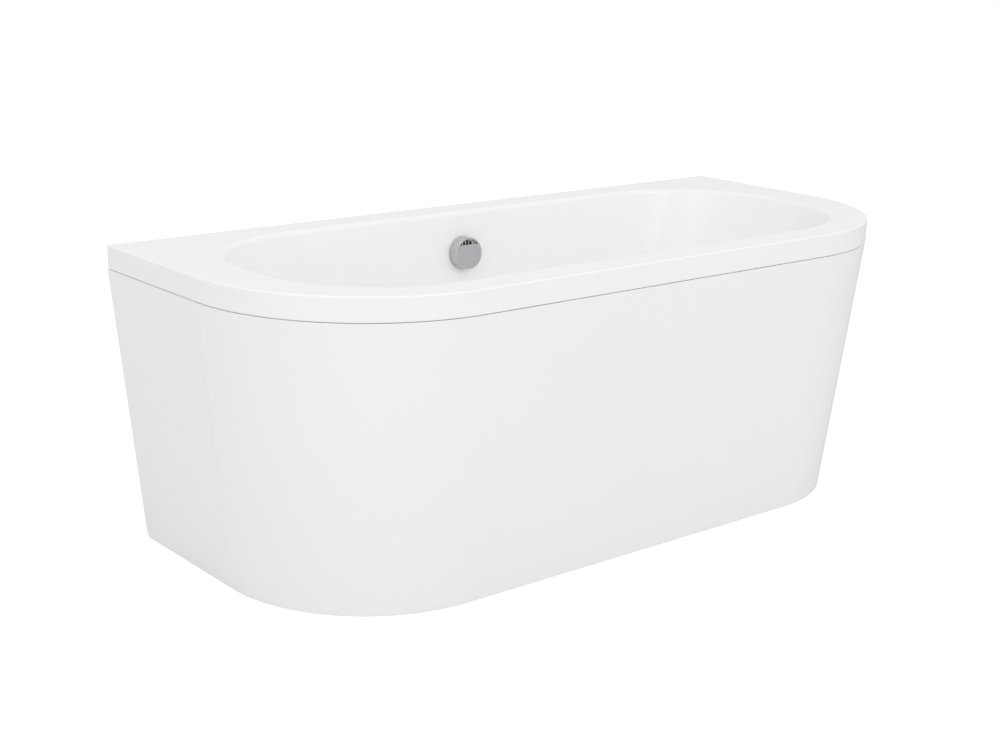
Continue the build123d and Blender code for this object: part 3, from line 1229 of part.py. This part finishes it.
NODES = {
    "bath_shell": bath_shell,
    "glassfibre_backing": glassfibre_backing,
    "base_board": base_board,
    "rim_batten_back": rim_batten_back,
    "rim_batten_front": rim_batten_front,
    "rim_batten_left": lambda: rim_batten_end(-1),
    "rim_batten_right": lambda: rim_batten_end(1),
    "front_panel": front_panel,
    "panel_rail": panel_rail,
    "panel_brackets": panel_brackets,
    "panel_fixings": panel_fixings,
    "leg_channel_left": lambda: leg_channel(-1),
    "leg_channel_right": lambda: leg_channel(1),
    "centre_leg_bracket": centre_leg_bracket,
    "leg_screws": leg_screws,
    "lock_nuts": lambda: stud_nuts(HAT_UNDER - NUT_HEIGHT),
    "weld_nuts": lambda: stud_nuts(HAT_UNDER + HAT_SHEET),
    "wall_brackets": wall_brackets,
    "wall_bracket_screws": wall_bracket_screws,
    "waste_flange": waste_flange,
    "stem_guide": stem_guide,
    "flange_seal": flange_seal,
    "waste_plug": waste_plug,
    "plug_seal": plug_seal,
    "waste_gasket": waste_gasket,
    "waste_body": waste_body,
    "lift_lever": lift_lever,
    "lever_pin": lever_pin,
    "overflow_gasket": overflow_gasket,
    "overflow_body": overflow_body,
    "drum_cover": drum_cover,
    "overflow_faceplate": overflow_faceplate,
    "overflow_screws": overflow_screws,
    "control_knob": control_knob,
    "control_spindle": control_spindle,
    "cable_drum": cable_drum,
    "cable_sheath": cable_sheath,
    "cable_wire": cable_wire,
    "overflow_hose": overflow_hose,
    "hose_nut_bottom": hose_nut_bottom,
    "hose_nut_top": hose_nut_top,
    "trap_body": trap_body,
    "trap_inlet_seal": trap_inlet_seal,
    "trap_inlet_nut": trap_inlet_nut,
    "trap_outlet_seal": trap_outlet_seal,
    "trap_outlet_nut": trap_outlet_nut,
}
for foot, spot in FOOT_SPOTS.items():
    NODES[f"foot_stud_{foot}"] = lambda spot=spot: foot_stud(spot)
    NODES[f"foot_pad_{foot}"] = lambda spot=spot: foot_pad(spot)


def main():
    os.makedirs("parts", exist_ok=True)
    for name, make in NODES.items():
        made = make()
        solids = made if isinstance(made, list) else [made]
        shape = Compound(children=solids) if len(solids) > 1 else solids[0]
        export_step(shape, f"parts/{name}.step")


if __name__ == "__main__":
    main()
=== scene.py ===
import bisect
import json
import math

import bpy
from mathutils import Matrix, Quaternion, Vector


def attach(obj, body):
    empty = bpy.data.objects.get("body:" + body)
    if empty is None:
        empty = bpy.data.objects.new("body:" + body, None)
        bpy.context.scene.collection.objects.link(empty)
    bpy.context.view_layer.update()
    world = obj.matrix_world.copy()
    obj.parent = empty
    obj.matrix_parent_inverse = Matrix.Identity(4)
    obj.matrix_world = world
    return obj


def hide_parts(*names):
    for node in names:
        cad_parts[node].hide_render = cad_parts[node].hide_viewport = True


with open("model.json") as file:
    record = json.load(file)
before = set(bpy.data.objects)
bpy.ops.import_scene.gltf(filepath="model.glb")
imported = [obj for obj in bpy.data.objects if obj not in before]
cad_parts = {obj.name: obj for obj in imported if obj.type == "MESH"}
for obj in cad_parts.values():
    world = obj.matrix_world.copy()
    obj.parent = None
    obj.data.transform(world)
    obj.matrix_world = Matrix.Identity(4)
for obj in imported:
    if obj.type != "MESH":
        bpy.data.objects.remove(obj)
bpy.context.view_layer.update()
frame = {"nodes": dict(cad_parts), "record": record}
nodes = frame["nodes"]
scene = bpy.context.scene
scene.view_settings.view_transform = "Standard"

# The photograph's camera: where it looks, from which side, how far off and through what lens
LOOK_AT = Vector((-0.0429, 0.1053, 0.300))
AZIMUTH = 39.22
PITCH = 15.54
ROLL = 1.02
DISTANCE = 3.694
LENS_MM = 59.36
SENSOR_MM = 36.0


def photo_camera():
    """Stands where the photograph was taken from."""
    azimuth, pitch = math.radians(AZIMUTH), math.radians(PITCH)
    ahead = Vector((
        math.sin(azimuth) * math.cos(pitch), math.cos(azimuth) * math.cos(pitch), -math.sin(pitch)
    ))
    data = bpy.data.cameras.new("photo_camera")
    data.lens = LENS_MM
    data.sensor_width = SENSOR_MM
    camera = bpy.data.objects.new("photo_camera", data)
    camera.location = LOOK_AT - ahead * DISTANCE
    level = ahead.to_track_quat("-Z", "Y")
    camera.rotation_euler = (level @ Quaternion((0, 0, 1), math.radians(ROLL))).to_euler()
    scene.collection.objects.link(camera)
    scene.camera = camera


# The hose's and the cable's routes, as in the part's source
HOSE_ROUTE = [
    (-0.0343, 0, 0.148), (-0.0563, 0, 0.148), (-0.1246, 0, 0.148), (-0.152, 0.0958, 0.148),
    (-0.1414, 0.1917, 0.1533), (-0.1018, 0.2672, 0.1902), (-0.0502, 0.2991, 0.2747),
    (-0.015, 0.3028, 0.3985), (-0.015, 0.31148, 0.4809), (-0.015, 0.3138, 0.5027),
]
HOSE_RADIUS = 0.017
HOSE_BORE = 0.014
HOSE_PLAIN_END = 0.034
HOSE_RIBS = 60
HOSE_RIB_DEPTH = 0.002
RIB_SHARES = [0, 0.1, 0.18, 0.26, 0.34, 0.5, 0.66, 0.74, 0.82, 0.9]
CABLE_ROUTE = [
    (-0.0105, 0.3419, 0.5216), (-0.0105, 0.3283, 0.3923), (-0.004, 0.3311, 0.2898),
    (0.002, 0.2846, 0.1918), (0, 0.1801, 0.1576), (0, 0.068, 0.1576),
]
SHEATH_RADIUS = 0.0025
SHEATH_BORE = 0.0013
WIRE_START = (-0.0105, 0.3437, 0.539)
WIRE_END = (0, 0.0233, 0.1576)
WIRE_RADIUS = 0.00075
SPLINE_DETAIL = 64
LOOK_AHEAD = 0.0005
THREAD_PITCH = 0.0015
# The wave texture has one band in 2 pi / 20 of its scaled length
THREAD_WAVE = 2 * math.pi / (20 * THREAD_PITCH)

# How finely the tubes are made
HOSE_SIDES = 48
SHEATH_SIDES = 24
WIRE_SIDES = 12
HOSE_STEP = 0.006
BORE_STEP = 0.012
CABLE_STEP = 0.005
FIRST_RIB_GAP = 0.001
RIB_FULLNESS = 1.6
RIB_LEVEL = 0.3
WIRE_TIP_RADIUS = WIRE_RADIUS / 20

# Light and stage
WORLD_LIGHT = 0.82
BACKGROUND = 1.0
FRONT_POWER = 31.0
LEFT_POWER = 11.0
LOW_POWER = 9.0
FLOOR_GLOW = 0.6
FLOOR_SIZE = 40
FLOOR_DROP = 0.0005
FLOOR_GREY = 0.75

# The sockets of a Mix node that mixes colours
MIX_FIRST = 6
MIX_SECOND = 7
MIX_RESULT = 2


def add(tree, kind, **values):
    """A shader node of this kind, with its settings or constant inputs."""
    node = tree.nodes.new("ShaderNode" + kind)
    for name, value in values.items():
        if hasattr(node, name):
            setattr(node, name, value)
        else:
            node.inputs[name.replace("_", " ")].default_value = value
    return node


def seen_directly(tree):
    """1 for the rays that see the background: from the camera, or through glass."""
    path = add(tree, "LightPath")
    either = add(tree, "Math", operation="ADD", use_clamp=True)
    tree.links.new(path.outputs["Is Camera Ray"], either.inputs[0])
    tree.links.new(path.outputs["Is Transmission Ray"], either.inputs[1])
    return either.outputs[0]


def white_world():
    """Even light from all around, behind a white background."""
    world = bpy.data.worlds.new("studio")
    world.use_nodes = True
    tree = world.node_tree
    background = tree.nodes["Background"]
    background.inputs["Color"].default_value = (1, 1, 1, 1)
    strength = add(tree, "MapRange", To_Min=WORLD_LIGHT, To_Max=BACKGROUND)
    tree.links.new(seen_directly(tree), strength.inputs["Value"])
    tree.links.new(strength.outputs["Result"], background.inputs["Strength"])
    scene.world = world


def area_light(name, place, size, power):
    """A soft rectangular lamp that points at the bath."""
    data = bpy.data.lights.new(name, "AREA")
    data.shape = "RECTANGLE"
    data.size, data.size_y = size
    data.energy = power
    light = bpy.data.objects.new(name, data)
    light.location = place
    light.rotation_euler = (LOOK_AT - Vector(place)).to_track_quat("-Z", "Y").to_euler()
    scene.collection.objects.link(light)


def pale_floor():
    """A white floor that keeps a faint shadow of the bath."""
    bpy.ops.mesh.primitive_plane_add(size=FLOOR_SIZE, location=(0, 0, -FLOOR_DROP))
    floor = bpy.context.object
    floor.name = "floor"
    material = bpy.data.materials.new("floor")
    material.use_nodes = True
    tree = material.node_tree
    shader = tree.nodes["Principled BSDF"]
    shader.inputs["Base Color"].default_value = (FLOOR_GREY, FLOOR_GREY, FLOOR_GREY, 1)
    shader.inputs["Roughness"].default_value = 0.9
    shader.inputs["Emission Color"].default_value = (1, 1, 1, 1)
    glow = add(tree, "MapRange", To_Min=0.0, To_Max=FLOOR_GLOW)
    tree.links.new(seen_directly(tree), glow.inputs["Value"])
    tree.links.new(glow.outputs["Result"], shader.inputs["Emission Strength"])
    floor.data.materials.append(material)


# Materials


class Finish:
    """A material around one Principled shader, with object coordinates in metres."""

    def __init__(self, name, **constants):
        self.material = bpy.data.materials.new(name)
        self.material.use_nodes = True
        self.tree = self.material.node_tree
        self.shader = self.tree.nodes["Principled BSDF"]
        for key, value in constants.items():
            if key == "Base_Color":
                value = (*value, 1)
            self.shader.inputs[key.replace("_", " ")].default_value = value
        self.where = add(self.tree, "TexCoord").outputs["Object"]

    def link(self, source, target):
        self.tree.links.new(source, target)

    def stretched(self, scale):
        mapping = add(self.tree, "Mapping", Scale=scale)
        self.link(self.where, mapping.inputs["Vector"])
        return mapping.outputs["Vector"]

    def noise(self, scale, detail=3.0, where=None, roughness=0.5, distortion=0.0):
        node = add(
            self.tree, "TexNoise", Scale=scale, Detail=detail, Roughness=roughness,
            Distortion=distortion,
        )
        self.link(where or self.where, node.inputs["Vector"])
        return node.outputs["Fac"]

    def cells(self, scale, where=None):
        """A grey level for each cell."""
        node = add(self.tree, "TexVoronoi", Scale=scale)
        self.link(where or self.where, node.inputs["Vector"])
        grey = add(self.tree, "RGBToBW")
        self.link(node.outputs["Color"], grey.inputs["Color"])
        return grey.outputs[0]

    def ramp(self, source, *stops):
        """Colours the source: each stop is a place and a colour."""
        node = add(self.tree, "ValToRGB")
        elements = node.color_ramp.elements
        while len(elements) < len(stops):
            elements.new(0.5)
        for element, (place, colour) in zip(elements, stops):
            element.position = place
            element.color = (*colour, 1)
        self.link(source, node.inputs["Fac"])
        return node.outputs["Color"]

    def range(self, source, low, high):
        node = add(self.tree, "MapRange", To_Min=low, To_Max=high)
        self.link(source, node.inputs["Value"])
        return node.outputs["Result"]

    def multiply(self, first, second):
        node = add(self.tree, "Mix", data_type="RGBA", blend_type="MULTIPLY")
        node.inputs["Factor"].default_value = 1
        self.link(first, node.inputs[MIX_FIRST])
        self.link(second, node.inputs[MIX_SECOND])
        return node.outputs[MIX_RESULT]

    def colour(self, source):
        self.link(source, self.shader.inputs["Base Color"])
        return self

    def roughness(self, source, low, high):
        self.link(self.range(source, low, high), self.shader.inputs["Roughness"])
        return self

    def bump(self, source, strength, distance):
        node = add(self.tree, "Bump", Strength=strength, Distance=distance)
        self.link(source, node.inputs["Height"])
        before = self.shader.inputs["Normal"].links
        if before:
            self.link(before[0].from_socket, node.inputs["Normal"])
        self.link(node.outputs["Normal"], self.shader.inputs["Normal"])
        return self


def white_acrylic():
    """Cast acrylic sheet: white, glossy, with the faint waviness of a formed sheet."""
    finish = Finish("white_acrylic", IOR=1.49, Coat_Weight=0.25, Coat_Roughness=0.06)
    waves = finish.noise(2.2, detail=1.0)
    finish.colour(finish.ramp(waves, (0.3, (0.965, 0.967, 0.966)), (0.7, (0.98, 0.98, 0.977))))
    finish.roughness(finish.noise(9.0), 0.16, 0.26)
    finish.bump(waves, 0.08, 0.004)
    return finish.material


def glass_fibre():
    """Sprayed glass-fibre reinforcement: short strands in every direction, under resin."""
    finish = Finish("glass_fibre", Coat_Weight=0.3, Coat_Roughness=0.25)
    across = finish.noise(60, 4, finish.stretched((1, 7, 2)), distortion=1.5)
    along = finish.noise(60, 4, finish.stretched((7, 1, 3)), distortion=1.5)
    upward = finish.noise(60, 4, finish.stretched((3, 5, 0.8)), distortion=1.5)
    strands = finish.multiply(finish.multiply(across, along), upward)
    mottle = finish.noise(9, 5)
    base = finish.ramp(mottle, (0.3, (0.58, 0.57, 0.46)), (0.7, (0.74, 0.73, 0.63)))
    pale = finish.ramp(strands, (0.06, (0.72, 0.72, 0.68)), (0.2, (1.0, 1.0, 1.0)))
    finish.colour(finish.multiply(base, pale))
    finish.roughness(mottle, 0.38, 0.6)
    finish.bump(strands, 0.9, 0.0012)
    finish.bump(mottle, 0.5, 0.004)
    return finish.material


def chipboard():
    """Pressed wood chips of mixed browns."""
    finish = Finish("chipboard", Roughness=0.8)
    chips = finish.cells(420, finish.stretched((1, 0.55, 1)))
    finish.colour(finish.ramp(
        chips, (0.1, (0.33, 0.22, 0.12)), (0.5, (0.55, 0.41, 0.25)), (0.95, (0.72, 0.58, 0.4))
    ))
    finish.bump(chips, 0.5, 0.0006)
    return finish.material


def timber(name, along):
    """Sawn softwood with its grain along this axis."""
    stretch = [1.0 if axis == along else 16.0 for axis in "XYZ"]
    finish = Finish(name, Roughness=0.7)
    grain = finish.noise(4.5, 7, finish.stretched(stretch), roughness=0.62, distortion=0.35)
    pores = finish.noise(38, 3, finish.stretched(stretch))
    wood = finish.ramp(
        grain, (0.3, (0.42, 0.27, 0.13)), (0.45, (0.62, 0.44, 0.25)), (0.52, (0.72, 0.55, 0.34)),
        (0.62, (0.60, 0.42, 0.23)), (0.75, (0.74, 0.58, 0.37)),
    )
    shade = finish.ramp(pores, (0.35, (0.82, 0.8, 0.77)), (0.6, (1.0, 1.0, 1.0)))
    finish.colour(finish.multiply(wood, shade))
    finish.bump(grain, 0.4, 0.0008)
    finish.bump(pores, 0.3, 0.0004)
    return finish.material


def zinc_steel():
    """Bright zinc plate with small spangles and a cool, uneven sheen."""
    finish = Finish("zinc_steel", Metallic=1.0)
    spangle = finish.cells(160)
    cloud = finish.noise(30, 4)
    tint = finish.ramp(cloud, (0.3, (0.52, 0.54, 0.57)), (0.7, (0.68, 0.68, 0.66)))
    grains = finish.ramp(spangle, (0.0, (0.86, 0.86, 0.86)), (1.0, (1.0, 1.0, 1.0)))
    finish.colour(finish.multiply(tint, grains))
    finish.roughness(spangle, 0.28, 0.46)
    finish.bump(cloud, 0.15, 0.0006)
    return finish.material


def plain_metal(name, dark, bright, low, high):
    """A machined or polished metal with fine marks along its height."""
    finish = Finish(name, Metallic=1.0)
    marks = finish.noise(60, 5, finish.stretched((1, 1, 30)))
    finish.colour(finish.ramp(marks, (0.3, dark), (0.7, bright)))
    finish.roughness(marks, low, high)
    finish.bump(marks, 0.04, 0.0002)
    return finish.material


def moulded(name, dark, bright, low, high, grain=900.0):
    """A moulded plastic or rubber with a fine, even skin."""
    finish = Finish(name, IOR=1.5)
    cloud = finish.noise(14, 4)
    finish.colour(finish.ramp(cloud, (0.3, dark), (0.7, bright)))
    finish.roughness(finish.noise(70, 3), low, high)
    finish.bump(finish.noise(grain, 2), 0.2, 0.0002)
    return finish.material


def threaded_steel():
    """Zinc plate with the fine ridges of a rolled thread, across the stud's axis, and painted
    shade that darkens the thread's grooves.
    """
    finish = Finish("threaded_steel", Metallic=1.0)
    ridges = add(finish.tree, "TexWave", bands_direction="Z", Scale=THREAD_WAVE)
    finish.link(finish.where, ridges.inputs["Vector"])
    # Painted shade: the colour is dark in the grooves of the thread and pale on its crests
    finish.colour(finish.ramp(
        ridges.outputs["Fac"], (0.0, (0.2, 0.21, 0.22)), (0.6, (0.62, 0.63, 0.64))
    ))
    finish.roughness(finish.noise(80), 0.3, 0.45)
    finish.bump(ridges.outputs["Fac"], 1.0, THREAD_PITCH / 2)
    return finish.material


def finishes():
    """The finish for each slot name, and two that fit single pieces."""
    white = ((0.74, 0.745, 0.74), (0.82, 0.82, 0.81))
    return {
        "white_acrylic": white_acrylic(),
        "glass_fibre": glass_fibre(),
        "chipboard": chipboard(),
        "timber": timber("timber_along_x", "X"),
        "timber_end": timber("timber_along_y", "Y"),
        "zinc_steel": zinc_steel(),
        "threaded_steel": threaded_steel(),
        "stainless_steel": plain_metal(
            "stainless_steel", (0.5, 0.5, 0.49), (0.62, 0.62, 0.61), 0.24, 0.36
        ),
        "chrome": plain_metal("chrome", (0.53, 0.54, 0.55), (0.58, 0.585, 0.59), 0.04, 0.09),
        "brass": plain_metal("brass", (0.55, 0.40, 0.17), (0.72, 0.55, 0.27), 0.22, 0.36),
        "rubber": moulded("rubber", (0.018, 0.018, 0.018), (0.035, 0.035, 0.034), 0.6, 0.8, 500),
        "black_plastic": moulded(
            "black_plastic", (0.02, 0.02, 0.022), (0.04, 0.04, 0.043), 0.38, 0.55
        ),
        "white_plastic": moulded("white_plastic", *white, 0.32, 0.46),
        "grey_plastic": moulded(
            "grey_plastic", (0.48, 0.49, 0.5), (0.56, 0.57, 0.58), 0.36, 0.5
        ),
    }


# Hose and cable


def spline_points(route):
    """The route's smooth line, as closely spaced points."""
    curve = bpy.data.curves.new("route", "CURVE")
    curve.dimensions = "3D"
    curve.resolution_u = SPLINE_DETAIL
    spline = curve.splines.new("NURBS")
    spline.points.add(len(route) - 1)
    for point, place in zip(spline.points, route):
        point.co = (*place, 1)
    spline.order_u = 3
    spline.use_endpoint_u = True
    holder = bpy.data.objects.new("route", curve)
    line = bpy.data.meshes.new_from_object(holder)
    points = [vertex.co.copy() for vertex in line.vertices]
    bpy.data.objects.remove(holder)
    bpy.data.curves.remove(curve)
    bpy.data.meshes.remove(line)
    return points


class Line:
    """A line of points, followed by distance."""

    def __init__(self, points):
        self.points = points
        self.marks = [0.0]
        for first, second in zip(points, points[1:]):
            self.marks.append(self.marks[-1] + (second - first).length)
        self.length = self.marks[-1]

    def at(self, distance):
        distance = min(max(distance, 0.0), self.length)
        step = min(bisect.bisect_right(self.marks, distance), len(self.marks) - 1)
        run = self.marks[step] - self.marks[step - 1]
        share = (distance - self.marks[step - 1]) / run
        return self.points[step - 1].lerp(self.points[step], share)

    def heading(self, distance):
        return (self.at(distance + LOOK_AHEAD) - self.at(distance - LOOK_AHEAD)).normalized()


def tube_piece(name, line, stations, sides, material):
    """A closed tube along a line; each station is a distance and a radius, out and back."""
    frames = {}
    across = None
    for distance in sorted({distance for distance, radius in stations}):
        ahead = line.heading(distance)
        side = across or ahead.orthogonal()
        across = (side - ahead * side.dot(ahead)).normalized()
        frames[distance] = (line.at(distance), across, ahead.cross(across))
    vertices = []
    for distance, radius in stations:
        middle, right, up = frames[distance]
        for side in range(sides):
            turn = 2 * math.pi * side / sides
            vertices.append(middle + (right * math.cos(turn) + up * math.sin(turn)) * radius)
    faces = []
    for ring in range(len(stations)):
        start, after = ring * sides, (ring + 1) % len(stations) * sides
        for side in range(sides):
            beside = (side + 1) % sides
            faces.append((start + side, start + beside, after + beside, after + side))
    mesh = bpy.data.meshes.new(name)
    mesh.from_pydata(vertices, [], faces)
    mesh.shade_smooth()
    mesh.materials.append(material)
    piece = bpy.data.objects.new(name, mesh)
    scene.collection.objects.link(piece)
    return piece


def even_steps(start, end, step):
    """Distances from start to end, about a step apart."""
    count = max(2, round((end - start) / step))
    return [start + (end - start) * number / count for number in range(count + 1)]


def ribbed_hose(finish):
    """The corrugated hose from the waste up to the overflow, with plain ends and a bore."""
    line = Line(spline_points(HOSE_ROUTE))
    pitch = (line.length - 2 * HOSE_PLAIN_END) / HOSE_RIBS
    outside = even_steps(0, HOSE_PLAIN_END - FIRST_RIB_GAP, HOSE_STEP)
    stations = [(distance, HOSE_RADIUS) for distance in outside]
    for number in range(HOSE_RIBS):
        for share in RIB_SHARES:
            wave = 0.5 - 0.5 * math.cos(2 * math.pi * share)
            dip = HOSE_RIB_DEPTH * min(1.0, max(0.0, RIB_FULLNESS * wave - RIB_LEVEL))
            stations.append((HOSE_PLAIN_END + (number + share) * pitch, HOSE_RADIUS - dip))
    far_end = line.length - HOSE_PLAIN_END
    outside = even_steps(far_end, line.length, HOSE_STEP)
    stations += [(distance, HOSE_RADIUS) for distance in outside]
    inside = even_steps(0, line.length, BORE_STEP)
    stations += [(distance, HOSE_BORE) for distance in reversed(inside)]
    hose = tube_piece("ribbed_hose", line, stations, HOSE_SIDES, finish["grey_plastic"])
    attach(hose, "tub")
    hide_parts("overflow_hose")


def pull_cable(finish):
    """The cable's outer sheath, and the wire that runs through it to the lever."""
    line = Line(spline_points(CABLE_ROUTE))
    steps = even_steps(0, line.length, CABLE_STEP)
    stations = [(distance, SHEATH_RADIUS) for distance in steps]
    stations += [(distance, SHEATH_BORE) for distance in reversed(steps)]
    sheath = tube_piece("pull_cable_sheath", line, stations, SHEATH_SIDES, finish["black_plastic"])
    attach(sheath, "tub")
    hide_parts("cable_sheath")
    wire_line = Line([Vector(WIRE_START), *line.points, Vector(WIRE_END)])
    steps = even_steps(0, wire_line.length, CABLE_STEP)
    stations = [(0, WIRE_TIP_RADIUS), *[(distance, WIRE_RADIUS) for distance in steps]]
    stations.append((wire_line.length, WIRE_TIP_RADIUS))
    wire = tube_piece("pull_wire", wire_line, stations, WIRE_SIDES, finish["stainless_steel"])
    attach(wire, "tub")
    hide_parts("cable_wire")


def dress_nodes(finish):
    """Gives each CAD node the finish of its slot."""
    for entry in frame["record"]["subparts"]:
        node = nodes[entry["node"]]
        name = entry["material_slot"]
        if entry["node"] in ("rim_batten_left", "rim_batten_right"):
            name = "timber_end"
        if entry["node"].startswith("foot_stud"):
            name = "threaded_steel"
        for material_slot in node.material_slots:
            material_slot.material = finish[name]


photo_camera()
white_world()
area_light("front_light", (0.3, -4.0, 3.4), (2.6, 2.6), FRONT_POWER)
area_light("left_light", (-2.6, -2.2, 3.6), (2.6, 2.6), LEFT_POWER)
area_light("low_light", (-4.2, -1.0, 1.1), (2.2, 2.0), LOW_POWER)
pale_floor()
finish = finishes()
dress_nodes(finish)
ribbed_hose(finish)
pull_cable(finish)
